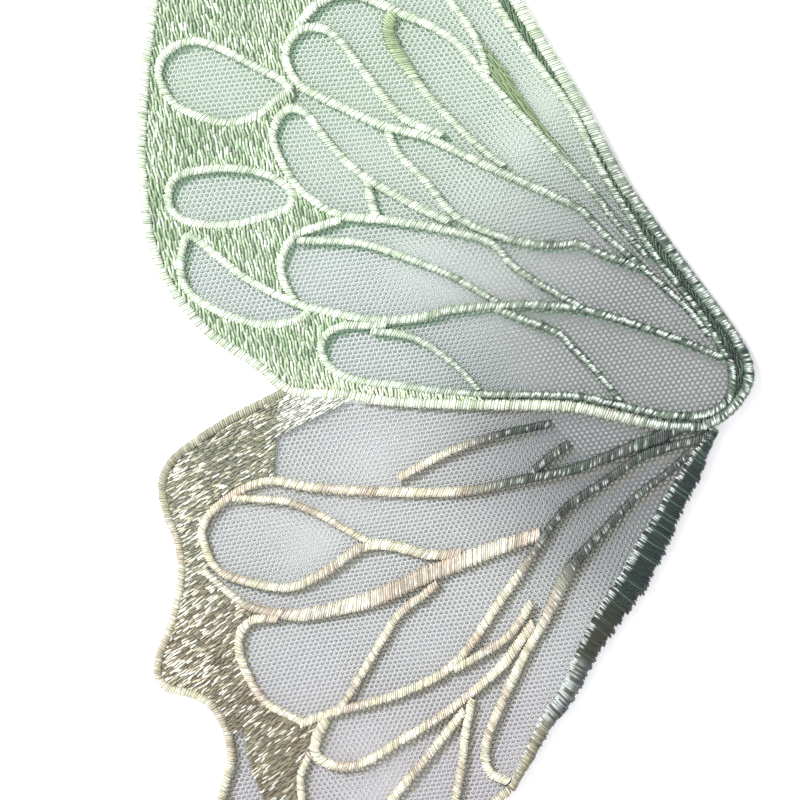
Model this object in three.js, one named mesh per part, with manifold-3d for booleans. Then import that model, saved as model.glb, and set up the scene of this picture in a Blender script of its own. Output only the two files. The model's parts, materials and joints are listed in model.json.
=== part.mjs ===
// Fairy wings: the left forewing and hindwing of an embroidered tulle wing set.
//
// Two layers of net are held together by raised satin-stitch cords and by flat stitched fills.
// The hindwing hangs from the forewing's lower border and folds up over its face.
//
// Everything is drawn flat, in millimetres, with x to the right, y up and z towards the viewer.
// The origin is on the back of the net inside the root loop, where the set is sewn on.
// The finished group is stood upright: the embroidered face looks along -Y and +Z is up.

import * as THREE from "three";
import { mergeVertices } from "three/addons/utils/BufferGeometryUtils.js";
import Module from "manifold-3d";

const wasm = await Module();
wasm.setup();

// Driving dimensions, in millimetres.
const NET_THICKNESS = 0.3;
const LAYER_GAP = 0.2;
const FILL_THICKNESS = 0.4;
const CORD_HEIGHT = 0.9;
const EDGE_CORD_HEIGHT = 1.0;
const SIDE_GAP = 0.2;
const CORD_STEP = 3.6;
const FOLD_CLEARANCE = 0.75;
const RING_RADIUS = 10;

const FRONT_NET_BASE = NET_THICKNESS + LAYER_GAP;
const THREAD_BASE = FRONT_NET_BASE + NET_THICKNESS + LAYER_GAP;

// The fold line, just under the forewing's lower border.
const FOLD_LEFT = new THREE.Vector2(-86, -3.2);
const FOLD_RIGHT = new THREE.Vector2(4, -11.2);

// Satin widths, in millimetres.
const MAIN_WIDTH = 1.4;
const FINE_WIDTH = 1.15;

// ---------------------------------------------------------------------------------------------
// Routes of the stitching

const foreEdge = route([
  [-85, -1.1], [-90, 2.9], [-94.5, 6], [-101, 10.3], [-105.4, 14.9], [-108.7, 19.4], [-111.2, 23.9],
  [-113.5, 31.7], [-114.5, 40.7], [-114.7, 49.8], [-113.9, 63.4], [-112.3, 77], [-110.5, 95],
  [-107, 112.5], [-101.5, 127], [-93, 136], [-83, 137.5], [-72.5, 129.5], [-61, 112.5], [-50, 94],
  [-39.6, 76.6], [-32.3, 64.7], [-26.1, 54.7], [-22.9, 48.6], [-18.9, 41.1], [-14.9, 35.3],
  [-10.3, 28.9], [-5.3, 22.2], [-0.2, 15.5], [4.5, 8.6], [6.9, 3.1], [6.1, -0.8], [4, -4],
  [1.2, -6.4], [-2.5, -8.2], [-7, -8.4], [-10.5, -8.1], [-14, -7.5], [-19.8, -6.1], [-24.7, -5],
  [-31, -4.1], [-46.2, -3.9], [-59, -3.6], [-67, -3], [-75, -1.8],
], true);

const rootLoop = route([
  [3.3, 4.6], [3.5, -0.5], [2.5, -3.2], [-0.2, -5.2], [-4, -6.2], [-9, -6], [-12, -5.6],
  [-19.5, -4], [-26, -2.5], [-34, -2], [-47, -1.8], [-57, -1],
]);

// Runs up inside the leading edge and curls round the head of the tip cell.
const leadingCord = route([
  [2.1, 5.9], [0.9, 8.3], [-2.9, 14.5], [-6.9, 19.5], [-10.3, 23.8], [-13.8, 28.6], [-17, 33.9],
  [-20.5, 39.3], [-24.2, 45.9], [-27.3, 52.7], [-30.4, 57.6], [-37.4, 66.8], [-44.2, 77],
  [-52.5, 90], [-62, 104], [-71.5, 116.5], [-80.5, 124], [-86, 121.5], [-87, 115], [-83, 107],
  [-75.5, 99.5],
]);

const archVein = route([
  [-83.2, 72.4], [-79.5, 76.5], [-74, 78.5], [-68.5, 77], [-63, 74.5], [-57, 72], [-51, 68],
  [-46, 62], [-41.5, 57], [-34.5, 49.7], [-29, 43.8], [-25.5, 40], [-22.9, 36.9], [-20.7, 33.7],
  [-18.6, 31.3], [-16.2, 28.6], [-14.1, 26.3],
]);

const tipCell = route([
  [-73, 79], [-75.5, 89], [-74, 97], [-69.5, 99.5], [-63.5, 94.5], [-58, 86], [-53, 77],
  [-49, 71.5], [-46.5, 66], [-45.5, 62.5],
]);

const forkVein = route([
  [-64.4, 75.2], [-65.4, 72.7], [-65.2, 70.2], [-64, 67.3], [-61.8, 63.9], [-57.6, 58.2],
  [-52.6, 52.9], [-47.2, 47.8], [-42.6, 44.2],
]);

const cellA = route([
  [-1.3, 10.2], [-3.1, 12.6], [-5.5, 15.3], [-10.3, 19.8], [-16.2, 25], [-21.3, 29.5],
  [-23.9, 31.9], [-26.6, 35], [-34.5, 39], [-42.5, 42.5], [-52, 47], [-58.5, 50], [-66.5, 52],
  [-78.5, 57.5], [-84, 61], [-86, 66.5], [-83.5, 71], [-79.5, 71.5], [-76, 70], [-70.5, 63],
  [-63, 54], [-55, 50.3],
]);

const longVein = route([
  [-65.5, 51], [-63.5, 46.5], [-58, 41], [-52, 34], [-43.5, 30], [-34, 28], [-28, 28.5],
  [-22, 26], [-14.5, 23], [-8, 17.5], [-3.5, 12.5], [1, 7],
]);

const cellB = route([
  [-26.1, 15.2], [-31.5, 18.3], [-35.2, 20.3], [-38.5, 22.5], [-41.7, 25.1], [-45, 28.6],
  [-53.5, 31], [-65, 33], [-75, 34], [-80.5, 37], [-85, 41.5], [-88.5, 49], [-87.5, 53.5],
  [-85, 55.5], [-82.5, 55], [-80, 52], [-75.5, 46.5], [-70.5, 42], [-65, 38.7], [-59, 35.4],
  [-53.8, 33.1],
]);

const cellC = route([
  [-74, 33.5], [-84, 30], [-86.5, 26], [-87, 23], [-85.5, 19], [-82.5, 16], [-72, 13.5],
  [-64, 13], [-57, 14], [-53.5, 15], [-43.5, 16], [-34, 16], [-26, 15], [-17, 12.5], [-7, 9],
  [1.5, 5.5],
]);

const cellD = route([
  [-57, 13.5], [-67, 12], [-74, 12], [-77.5, 10.5], [-79, 7.5], [-77, 3.5], [-72, 1], [-64, 0],
  [-57, -1],
]);

const bladeEdge = route([
  [-47.5, 69.5], [-43, 64.5], [-40.5, 60.5], [-36, 54], [-30.5, 47], [-23.5, 38.5],
]);

const hindEdge = route([
  [-85.6, -1.2], [-90.6, -3.6], [-98, -7.5], [-103.6, -11.2], [-107.6, -14.2], [-110, -17.4],
  [-110.6, -21], [-109.6, -26], [-107.8, -30.3], [-106.8, -35.4], [-107.1, -40.5],
  [-108.8, -47.6], [-111.2, -54.4], [-111.5, -58.2], [-109.8, -60.6], [-103.8, -62],
  [-100.7, -64.4], [-98.6, -67.2], [-96.9, -73], [-97.3, -77.2], [-98.6, -82], [-99.2, -88.5],
  [-97, -93.8], [-92, -98], [-89, -103.5], [-84, -108], [-76.5, -110], [-67, -108],
  [-58, -102.5], [-51.5, -95.5], [-47, -88], [-44, -83.5], [-41.4, -81.4],
]);

const trailingBand = route([
  [-1, -11], [-3.6, -15.2], [-6.8, -20.8], [-10.2, -27], [-16.6, -39], [-22, -46.9],
  [-26.1, -54.2], [-29.7, -61.7], [-33.9, -67.6], [-37.4, -74.5], [-40.4, -80.5],
]);

// From the root, round the head of the upper cell and back along its lower side.
const hindVein1 = route([
  [-4.7, -9.4], [-12.3, -10.9], [-17.9, -13], [-22, -14.6], [-29, -17], [-39, -19],
  [-48.5, -21], [-57, -21.5], [-71, -21.2], [-82.5, -20.2], [-88.5, -19], [-94, -20.5],
  [-100, -24.5], [-102.5, -28], [-102.5, -31], [-101, -35], [-98, -38], [-86.5, -40.6],
  [-79, -38], [-69, -32], [-57, -34], [-53.5, -34], [-43.5, -32.5],
]);

const hindVein4 = route([
  [-102, -37.5], [-94, -44], [-87, -45.7], [-82.5, -46], [-71, -43.6], [-63.5, -40.7],
  [-57, -37.7], [-43.5, -32.6], [-35.5, -30],
]);

const hindCell = route([
  [-82.5, -67.5], [-90.5, -63], [-95, -54.5], [-95, -49.5], [-92.5, -47], [-82.5, -46.5],
]);

// Round the lower cell's head, from the vein that closes it to the one that opens it.
const lowerCell = route([
  [-36.5, -48], [-42.5, -56], [-48, -61], [-53, -65], [-59, -69], [-63.5, -71.5],
  [-68.5, -74.8], [-72.4, -76.3], [-76, -76.2], [-78.7, -75.3], [-80.2, -73.2], [-79.7, -70.2],
  [-78, -67.2],
]);

const hindFillCord = route([
  [-81.3, -74.3], [-83, -78.5], [-82.2, -85.5], [-79.5, -93], [-83, -99],
]);

// ---------------------------------------------------------------------------------------------
// Satin cords, in the order they are laid: a later cord stops short of an earlier one.

const foreCords = [
  cord("forewing_edge_cord", foreEdge, [1.7, 1.8, 1.8, 2.2, 2.2, 1.9, 1.6], EDGE_CORD_HEIGHT),
  cord("forewing_root_loop", rootLoop, [1.5, 1.5, 1.3, 1.2]),
  cord("forewing_leading_cord", leadingCord, [1.2, 1.4, 1.5, 1.5, 1.4]),
  cord("forewing_eyelet_1", route([
    [-111.5, 62.5], [-109.5, 67], [-104, 69], [-98, 67], [-90.5, 63], [-85, 60], [-87.5, 57.5],
    [-90.5, 54.5], [-96.5, 52.5], [-102.5, 53.5], [-108.5, 56.5],
  ], true), [MAIN_WIDTH]),
  cord("forewing_eyelet_2", route([
    [-109.5, 38], [-107.5, 42], [-98.5, 43.5], [-90.5, 42.5], [-86, 40], [-84, 37], [-87.5, 34.5],
    [-97, 32], [-105, 32.5], [-108.5, 34.5],
  ], true), [MAIN_WIDTH]),
  cord("forewing_eyelet_3", route([
    [-105.5, 30], [-107, 24.5], [-106.5, 20.5], [-103.5, 17], [-96.5, 13.5], [-88.5, 12],
    [-81, 14.5], [-87.5, 18], [-94, 21.5], [-100.5, 26.5],
  ], true), [MAIN_WIDTH]),
  cord("forewing_eyelet_4", route([
    [-110, 89.5], [-107, 94], [-100.5, 95.5], [-93, 94], [-85, 88.5], [-89.5, 84.5], [-96, 82],
    [-104, 83], [-108.5, 86],
  ], true), [MAIN_WIDTH]),
  cord("forewing_eyelet_5", route([
    [-104.5, 111], [-102, 115.5], [-96.5, 117], [-92, 115.5], [-88.5, 110], [-92.5, 106],
    [-98.5, 105], [-103, 107],
  ], true), [MAIN_WIDTH]),
  cord("forewing_cell_a", cellA, [1.2, 1.3, 1.4, 1.5, 1.4, 1.5]),
  cord("forewing_vein_arch", archVein, [1.6, 1.5, 1.3, 1.2, 1.2]),
  cord("forewing_cell_tip", tipCell, [1.3, 1.4, 1.3]),
  cord("forewing_vein_fork", forkVein, [1.6, 2.9, 1.6, 1.4, 1.3, 1.2]),
  cord("forewing_cell_b", cellB, [1.3, 1.4, 1.4, 1.5]),
  cord("forewing_vein_long", longVein, [1.3, 1.4, 1.4, 1.2]),
  cord("forewing_vein_cross", route([[-69.5, 40.5], [-69, 37.5], [-68, 34.5]]), [1.2, 1.6]),
  cord("forewing_cell_c", cellC, [1.4, 1.4, 1.5, 1.3]),
  cord("forewing_vein_c", route([
    [-83, 29], [-71.5, 28.5], [-63, 26], [-53, 22], [-43.8, 16.8],
  ]), [FINE_WIDTH]),
  cord("forewing_cell_d", cellD, [1.3, 1.4, 1.3]),
  cord("forewing_vein_d", route([
    [-68.2, 10.8], [-63.2, 10.3], [-59.6, 9.2], [-56.4, 7.4], [-51, 3.1], [-47.6, -0.7],
  ]), [FINE_WIDTH]),
  cord("forewing_vein_e", route([
    [-43.5, 15.2], [-36.6, 12.5], [-31.5, 10.6], [-28.7, 7.6], [-25.4, 4.5], [-22.1, 0.8],
    [-19.3, -2.7],
  ]), [1.3, 1.4, 1.2]),
];

const hindCords = [
  cord("hindwing_edge_cord", hindEdge, [1.5], EDGE_CORD_HEIGHT),
  cord("hindwing_trailing_band", trailingBand, [
    2.2, 3.3, 3.5, 4.6, 4.8, 4.2, 3.5, 2.8, 2.5, 1.9, 1.8,
  ]),
  cord("hindwing_vein_7", route([
    [-4.5, -11.2], [-11.9, -13.2], [-15.7, -14.9], [-22.1, -19.4], [-29.4, -24.3],
    [-33.7, -29.7], [-37.9, -36.1], [-42.6, -42.7], [-48.6, -51.6], [-52.4, -56], [-55.7, -58.5],
    [-63, -61.7], [-69, -63.6], [-76, -65.4], [-82.5, -67.8],
  ]), [1.7, 1.5, 1.4, 1.5]),
  cord("hindwing_vein_8", route([
    [-5.5, -13.8], [-9.3, -17.5], [-15.3, -22], [-22.6, -29.5], [-27.3, -34.8], [-30.5, -39.5],
    [-33.6, -46.3], [-37.4, -52.7], [-41.7, -61.5], [-45.4, -70.2], [-46, -74.5],
    [-44.4, -78.3], [-41.7, -79.2],
  ]), [1.2, 1.3, 1.5, 2.6, 1.6, 1.5, 1.6, 1.4]),
  cord("hindwing_vein_4", hindVein4, [1.3, 1.6, 2.6, 3.2, 3, 2.2]),
  cord("hindwing_vein_1", hindVein1, [2.8, 1.8, 1.6, 1.5, 1.4, 1.4, 1.7, 1.6]),
  cord("hindwing_vein_2", route([
    [-99, -22.5], [-88.5, -23], [-85, -23.5], [-79, -26], [-71, -30.5], [-67, -32.5],
  ]), [FINE_WIDTH]),
  cord("hindwing_vein_5", route([[-63, -18.5], [-53.5, -13.5], [-43.5, -10], [-37, -8.5]]), [1.3]),
  cord("hindwing_vein_6", route([[-36, -17], [-32.5, -14], [-29.5, -12]]), [1.6]),
  cord("hindwing_vein_9", route([[-37, -44], [-41, -50], [-47, -54], [-53.5, -57.5]]), [1.4]),
  cord("hindwing_vein_10", lowerCell, [1.8, 1.4, 1.4, 2]),
  cord("hindwing_vein_11", route([
    [-50.4, -65.5], [-54.5, -70.6], [-59.6, -77], [-63, -80.9], [-72, -91.5], [-83, -99],
  ]), [1.4]),
  cord("hindwing_vein_12", route([
    [-48.7, -63.2], [-49.8, -69], [-51.1, -78.5], [-54.5, -93], [-61.5, -104],
  ]), [1.4]),
  cord("hindwing_cell_cord", hindCell, [1.4, 1.6, 1.4]),
  cord("hindwing_vein_13", route([
    [-75, -65], [-70.5, -57.5], [-66, -50], [-63, -45.5], [-59.5, -43], [-56, -40],
  ]), [1.3]),
  cord("hindwing_fill_cord", hindFillCord, [1.3]),
];

// ---------------------------------------------------------------------------------------------
// Stitched fills: each is bounded by stretches of the routes, counted in their listed points.

const foreMargin = [
  ...stretch(foreEdge, 41, 61.3),
  ...stretch(leadingCord, 16, 20),
  ...stretch(tipCell, 2, 0),
  ...stretch(archVein, 2, 0),
  ...stretch(cellA, 16, 14),
  ...stretch(cellB, 13, 8),
  ...stretch(cellC, 0, 6),
  ...stretch(cellD, 2, 8),
  ...stretch(rootLoop, 11, 10),
];

const leadingFill = [
  ...stretch(foreEdge, 16.34, 22.3),
  ...stretch(leadingCord, 9.3, 15.8),
];

const rootFill = [
  ...stretch(foreEdge, 22.4, 40),
  ...stretch(rootLoop, 9.5, 0),
  ...stretch(leadingCord, 0, 9.2),
];

const blade = [
  ...stretch(archVein, 6, 11.5),
  ...stretch(bladeEdge, 5, 0),
];

// The inner limits of the hindwing's fill that no cord marks.
const hindFillTop = [[-88.5, -18.5], [-88, -10.5], [-83, -8], [-75, -4.5]];
const hindFillTail = [
  [-94, -69], [-93.5, -73.5], [-92, -78.5], [-90, -83], [-89, -90], [-86.5, -96.5],
];

const hindMargin = [
  ...stretch(hindEdge, 0, 17.5),
  ...hindFillTail,
  ...stretch(hindFillCord, 4, 0),
  ...stretch(lowerCell, 10, 12),
  ...stretch(hindCell, 0, 4),
  ...stretch(hindVein4, 1, 0),
  ...stretch(hindVein1, 15, 10),
  ...hindFillTop,
];

// ---------------------------------------------------------------------------------------------
// Net outlines

const foreNet = stretch(foreEdge, 0, 45);

const hindNet = [
  ...stretch(hindEdge, 0, 32),
  ...stretch(trailingBand, 10, 0),
  [-1, -8],
  [-80, 0],
];

// ---------------------------------------------------------------------------------------------
// Assembly

const MINT = "#a9c9a4";
const MINT_DEEP = "#86ae84";
const GREEN = "#7fa56b";
const CREAM = "#dcdcc6";
const OLIVE = "#b9b795";
const TEAL = "#3f5a4d";
const NET_MINT = "#c6d6cc";
const NET_GREY = "#cdd2cf";

const wings = new THREE.Group();
wings.name = "fairy_wings";
wings.rotation.x = Math.PI / 2;

const upperHalf = halfPlane(1);
const lowerHalf = halfPlane(-1);

addWing(foreCords, upperHalf, MINT, [
  ["forewing_net_back", foreNet, 0, NET_THICKNESS, NET_MINT],
  ["forewing_net_front", foreNet, FRONT_NET_BASE, NET_THICKNESS, NET_MINT],
  ["forewing_margin_fill", foreMargin, THREAD_BASE, FILL_THICKNESS, MINT_DEEP],
  ["forewing_leading_fill", leadingFill, THREAD_BASE, FILL_THICKNESS, MINT_DEEP],
  ["forewing_root_fill", rootFill, THREAD_BASE, FILL_THICKNESS, GREEN],
  ["forewing_blade_fill", blade, THREAD_BASE, FILL_THICKNESS, GREEN],
]);

addWing(hindCords, lowerHalf, CREAM, [
  ["hindwing_net_back", hindNet, 0, NET_THICKNESS, NET_GREY],
  ["hindwing_net_front", hindNet, FRONT_NET_BASE, NET_THICKNESS, NET_GREY],
  ["hindwing_margin_fill", hindMargin, THREAD_BASE, FILL_THICKNESS, OLIVE],
]);

wings.getObjectByName("hindwing_trailing_band").material.color.set(TEAL);

export default wings;

// Adds one wing's plates and cords, each kept on its own side of the fold line.
function addWing(cords, side, colour, plates) {
  const laid = [];
  const cords3d = cords.map((item) => {
    const cutters = laid.slice();
    laid.push(sweep(item, SIDE_GAP));
    return [item.name, trim(sweep(item, 0), cutters, side)];
  });
  for (const [name, outline, base, thickness, plateColour] of plates) {
    const cutters = base < THREAD_BASE ? [] : laid;
    addMesh(name, trim(plate(outline, base, thickness), cutters, side), plateColour);
  }
  for (const [name, solid] of cords3d) {
    addMesh(name, solid, colour);
  }
}

function addMesh(name, solid, colour) {
  const material = new THREE.MeshStandardMaterial({ color: colour, roughness: 0.6, metalness: 0 });
  const mesh = new THREE.Mesh(toGeometry(solid), material);
  mesh.name = name;
  wings.add(mesh);
}

// A smooth route through points given as [x, y].
function route(points, closed = false) {
  const vectors = points.map(([x, y]) => new THREE.Vector3(x, y, 0));
  const curve = new THREE.CatmullRomCurve3(vectors, closed, "catmullrom", 0.5);
  curve.arcLengthDivisions = 600;
  return curve;
}

function cord(name, curve, widths, height = CORD_HEIGHT) {
  return { name, curve, widths, height };
}

// Points along a route from one listed point to another; fractions fall between two points.
function stretch(curve, from, to) {
  const spans = curve.closed ? curve.points.length : curve.points.length - 1;
  const direction = Math.sign(to - from);
  const length = Math.abs(to - from);
  const steps = Math.ceil(length * 3);
  const points = [];
  for (let i = 0; i <= steps; i += 1) {
    const place = (from + (direction * length * i) / steps) / spans;
    const point = curve.getPoint(place > 1 ? place - 1 : place);
    points.push([point.x, point.y]);
  }
  return points;
}

// The satin's width at a fraction of its length, eased between the listed widths.
function widthAt(widths, fraction) {
  if (widths.length === 1) {
    return widths[0];
  }
  const place = THREE.MathUtils.clamp(fraction, 0, 1) * (widths.length - 1);
  const index = Math.min(Math.floor(place), widths.length - 2);
  const ease = THREE.MathUtils.smoothstep(place - index, 0, 1);
  return THREE.MathUtils.lerp(widths[index], widths[index + 1], ease);
}

// Sweeps the domed satin section along a route. With a margin it makes the taller, wider block
// that later pieces are cut back from.
function sweep({ curve, widths, height }, margin) {
  const dome = [[-1, 0], [1, 0], [0.72, 0.7], [0, 1], [-0.72, 0.7]];
  const block = [[-1, -1], [1, -1], [1, 2], [-1, 2]];
  const section = margin > 0 ? block : dome;
  const steps = Math.max(2, Math.round(curve.getLength() / CORD_STEP));
  const geometry = curve.closed ? ringOf(section, steps) : barOf(section, steps);
  const length = curve.getLength();
  const position = geometry.attributes.position;
  for (let i = 0; i < position.count; i += 1) {
    const [across, up, along] = curve.closed ? fromRing(position, i) : fromBar(position, i);
    const overrun = curve.closed ? 0 : margin * (2 * along - 1);
    const place = curve.closed ? along : THREE.MathUtils.clamp(along, 0, 1);
    const centre = curve.getPointAt(place);
    const heading = curve.getTangentAt(place);
    const isEnd = along <= 0 || along >= 1;
    const half = widthAt(widths, along) / 2 + margin;
    const push = isEnd ? overrun : 0;
    position.setXYZ(
      i,
      centre.x - heading.y * across * half + heading.x * push,
      centre.y + heading.x * across * half + heading.y * push,
      THREAD_BASE + up * height,
    );
  }
  return toSolid(geometry);
}

function barOf(section, steps) {
  const shape = new THREE.Shape(section.map(([x, y]) => new THREE.Vector2(x, y)));
  return new THREE.ExtrudeGeometry(shape, { depth: 1, steps, bevelEnabled: false });
}

function fromBar(position, i) {
  return [position.getX(i), position.getY(i), position.getZ(i)];
}

// A closed run is a turned ring of this mean radius, opened out along the route.
function ringOf(section, steps) {
  const profile = [...section, section[0]].map(([x, y]) => new THREE.Vector2(RING_RADIUS + x, y));
  return new THREE.LatheGeometry(profile, steps);
}

function fromRing(position, i) {
  const x = position.getX(i);
  const z = position.getZ(i);
  const turn = Math.atan2(x, z) / (2 * Math.PI);
  return [Math.hypot(x, z) - RING_RADIUS, position.getY(i), (turn + 1) % 1];
}

// A flat plate of the given outline.
function plate(outline, base, thickness) {
  const shape = new THREE.Shape(outline.map(([x, y]) => new THREE.Vector2(x, y)));
  const geometry = new THREE.ExtrudeGeometry(shape, { depth: thickness, bevelEnabled: false });
  geometry.translate(0, 0, base);
  return toSolid(geometry);
}

// A block that covers everything on one side of the fold line, clear of it.
function halfPlane(sign) {
  const along = FOLD_RIGHT.clone().sub(FOLD_LEFT).normalize();
  const up = new THREE.Vector2(-along.y, along.x).multiplyScalar(sign);
  const reach = 400;
  const corner = (base, run, rise) => base.clone().addScaledVector(along, run).addScaledVector(up, rise);
  const shape = new THREE.Shape([
    corner(FOLD_LEFT, -reach, FOLD_CLEARANCE),
    corner(FOLD_LEFT, reach, FOLD_CLEARANCE),
    corner(FOLD_LEFT, reach, reach),
    corner(FOLD_LEFT, -reach, reach),
  ]);
  const geometry = new THREE.ExtrudeGeometry(shape, { depth: 10, bevelEnabled: false });
  geometry.translate(0, 0, -5);
  return toSolid(geometry);
}

// Cuts a piece back from others, keeps its own side of the fold, and drops loose offcuts.
function trim(solid, cutters, side) {
  let result = solid.intersect(side);
  for (const cutter of cutters) {
    result = result.subtract(cutter);
  }
  const pieces = result.decompose();
  return pieces.reduce((best, piece) => (piece.volume() > best.volume() ? piece : best));
}

function toSolid(geometry) {
  const bare = geometry.clone();
  bare.deleteAttribute("normal");
  bare.deleteAttribute("uv");
  const merged = mergeVertices(bare, 1e-4);
  const vertProperties = new Float32Array(merged.attributes.position.array);
  const triVerts = new Uint32Array(merged.index.array);
  const corner = (k) => new THREE.Vector3().fromArray(vertProperties, 3 * triVerts[k]);
  let volume = 0;
  for (let k = 0; k < triVerts.length; k += 3) {
    volume += corner(k).dot(corner(k + 1).cross(corner(k + 2)));
  }
  if (volume < 0) {
    for (let k = 0; k < triVerts.length; k += 3) {
      [triVerts[k], triVerts[k + 1]] = [triVerts[k + 1], triVerts[k]];
    }
  }
  return new wasm.Manifold(new wasm.Mesh({ numProp: 3, vertProperties, triVerts }));
}

function toGeometry(solid) {
  const { vertProperties, triVerts } = solid.getMesh();
  const geometry = new THREE.BufferGeometry();
  geometry.setAttribute("position", new THREE.BufferAttribute(vertProperties, 3));
  geometry.setIndex(new THREE.BufferAttribute(triVerts, 1));
  geometry.computeVertexNormals();
  return geometry;
}
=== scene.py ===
import json
import math

import bpy
import numpy as np
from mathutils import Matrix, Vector


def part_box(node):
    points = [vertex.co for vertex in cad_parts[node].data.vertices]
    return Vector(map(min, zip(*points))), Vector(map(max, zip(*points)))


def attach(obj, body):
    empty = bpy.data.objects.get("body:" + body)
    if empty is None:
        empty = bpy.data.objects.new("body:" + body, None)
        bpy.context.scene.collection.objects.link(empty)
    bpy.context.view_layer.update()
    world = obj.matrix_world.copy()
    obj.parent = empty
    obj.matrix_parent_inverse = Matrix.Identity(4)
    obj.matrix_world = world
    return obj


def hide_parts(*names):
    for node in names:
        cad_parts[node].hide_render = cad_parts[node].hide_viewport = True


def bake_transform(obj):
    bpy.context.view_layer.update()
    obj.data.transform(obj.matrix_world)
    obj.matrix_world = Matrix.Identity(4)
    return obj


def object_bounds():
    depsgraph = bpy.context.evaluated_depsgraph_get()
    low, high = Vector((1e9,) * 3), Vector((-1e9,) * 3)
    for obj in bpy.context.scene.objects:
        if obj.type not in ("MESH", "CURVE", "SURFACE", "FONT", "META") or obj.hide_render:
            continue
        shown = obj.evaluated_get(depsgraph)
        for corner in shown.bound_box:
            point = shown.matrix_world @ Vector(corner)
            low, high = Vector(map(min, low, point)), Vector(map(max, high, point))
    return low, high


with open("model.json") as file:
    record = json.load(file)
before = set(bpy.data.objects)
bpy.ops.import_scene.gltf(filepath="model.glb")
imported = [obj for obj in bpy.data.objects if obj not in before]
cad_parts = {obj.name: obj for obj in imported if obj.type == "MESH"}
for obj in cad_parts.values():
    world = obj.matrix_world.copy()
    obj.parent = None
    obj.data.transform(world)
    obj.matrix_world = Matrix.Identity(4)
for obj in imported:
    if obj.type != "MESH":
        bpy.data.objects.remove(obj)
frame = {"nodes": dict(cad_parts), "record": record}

# Everything is worked out in millimetres as (x, up, out), with out pointing at the viewer, and
# turned into the frame's metres only when a mesh is made. The wings' root is at the origin.
MM = 0.001

# Reading the CAD nodes.
LEVEL = 0.03  # corners this close to a node's highest or lowest are on its crest or face, or foot
WIDEST_HALF = 3.2  # no cord's foot is further than this from its crest
END_SPAN = 3  # this near its ends a cord is no wider than further in

# Where another cord nicks the end of a crest.
NICK_LENGTH = 1.6  # a nicked piece is no longer than this,
NICK_COSINE = 0.95  # and it turns away by at least the angle with this cosine
LONGEST_MEND = 0.8  # at most this much of the nicked pieces is made up for

# Where a cord ends.
END_RUN = 0.8  # its heading there is taken over this length
END_REACH = 0.55  # how far it runs on under its neighbour
FOLD_ZONE = 2.6  # an end this close below the fold
UNDER_BORDER = 2  # goes on until it is this far above the fold,
LONGEST_REACH = 4.5  # but not for longer than this
SHALLOWEST_SINE = 0.3  # and as if it rose at least this steeply

# Where the hindwing's fill and net run on over the fold.
FOLD_MARGIN = 1.2  # corners up to this far below the fold are moved
BORDER_LEFT = -88  # but the net's only to the right of this,
NET_RISE = 6  # and by this much

# Satin cords.
SATIN_PITCH = 0.47  # from one stitch to the next
BAND_PITCH = 0.44
SATIN_THREAD = (0.215, 0.16)  # half the thread's width and half its thickness
THREAD_SIDES = 5
FEWEST_TURNS = 6
POINTS_PER_TURN = 16
BACK_DEPTH = 0.06  # how far behind the net the middle of the thread runs
SWAY = 0.4  # the room a stitch has to stray along the cord, as a share of the pitch
LONGEST_LEAN = 1.1  # wider stitches lean no further than those that reach this far
FLARE_SPAN = 10  # a flared cord reaches its full width this far from its ends
ROUNDNESS = 0.8  # the power that shapes the upper side, where 1 is an ellipse
CROWN_SPREAD = 0.2  # how much lower than the highest stitches the lowest are
STITCH_SPREAD = 0.34  # how far apart the stitches' shades are
FLECK_SPREAD = 0.36  # and the shades along the thread
CURVE_STEP = 0.05
HEADING_STEP = 0.3  # a cord's heading is taken this far to either side

# The padding under the thread, as shares of the cord's half width and height.
PADDING_WIDTH = 0.84
PADDING_THICKNESS = 0.38
PADDING_LEVEL = 0.35
PADDING_SHADE = 0.55  # how bright it is beside the thread: painted darker, as the shade between stitches
PADDING_SKIP = 5  # it takes one in so many of the curve's points
PADDING_SIDES = 8

# Fills.
ROW_PITCH = 0.6
FILL_THREAD = (0.28, 0.16)  # half the thread's width, at that pitch, and half its thickness
FILL_STEP = 0.12  # how finely a row looks for the outline
STITCH_OVERLAP = 0.3  # how far a row runs on over the outline, and its shortest end stitch
ROW_STAGGER = 0.37  # how far each row's stitches are moved on, as a share of a stitch
CUT_SPREAD = 0.4  # the room a stitch's end has to stray, as a share of a stitch
ROW_SPREAD = 0.3  # the room it has to stray sideways, as a share of the pitch
TILT_SPREAD = 0.2  # the spread of the stitches' slopes across their row
ROW_WAVE = 0.2  # how far a row waves to either side, as a share of the pitch
FILL_SPREAD = 0.4  # how far apart the stitches' shades are
STITCH_KNOTS = np.array([0.0, 0.1, 0.35, 0.65, 0.9, 1.0])  # where a stitch bends along its length,
STITCH_DIPS = np.array([-0.22, 0.02, 0.16, 0.16, 0.02, -0.22])  # and how high it lies there
FILL_SINK = 0.2  # the stitches' level below the CAD node's face
GROUND_SINK = 0.3  # the ground's
BACK_SIDES = 4
BACK_SHADE = 0.9

# Net.
NET_PITCH = 1.02
NET_STRAND = (0.34, 0.1)  # a strand's width and thickness
NET_SINK = 0.15  # its level below the CAD plate's face
NET_MARGIN = 8  # strands further than this outside the plate's box aren't looked at
NET_SLANT = 0.14

# Painted shadow: net on the lower right of each cord, where the cord's shadow falls, is
# darkened towards a tone. The cells of a square grid say where that is.
SHADE_SIDE = np.array([0.75, -0.66])
SHADE_ALONG = np.array([0.66, 0.75])
SHADE_CELL = 0.4
SHADE_STRENGTH = 0.75

# The picture's framing and the stage, in metres.
VIEW_CENTRE = (-0.063, -0.003)
VIEW_WIDTH = 0.16
CAMERA_DISTANCE = 0.8
FLOOR_REACH = 3
FLOOR_GAP = 0.0005
CARD_REACH = 0.4
CARD_GAP = 0.0006

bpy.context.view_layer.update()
dice = np.random.default_rng(7)


def rgb(red, green, blue):
    """A screen colour, 0 to 255, as linear light."""
    value = np.array([red, green, blue]) / 255
    return ((value + 0.055) / 1.055) ** 2.4


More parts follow.
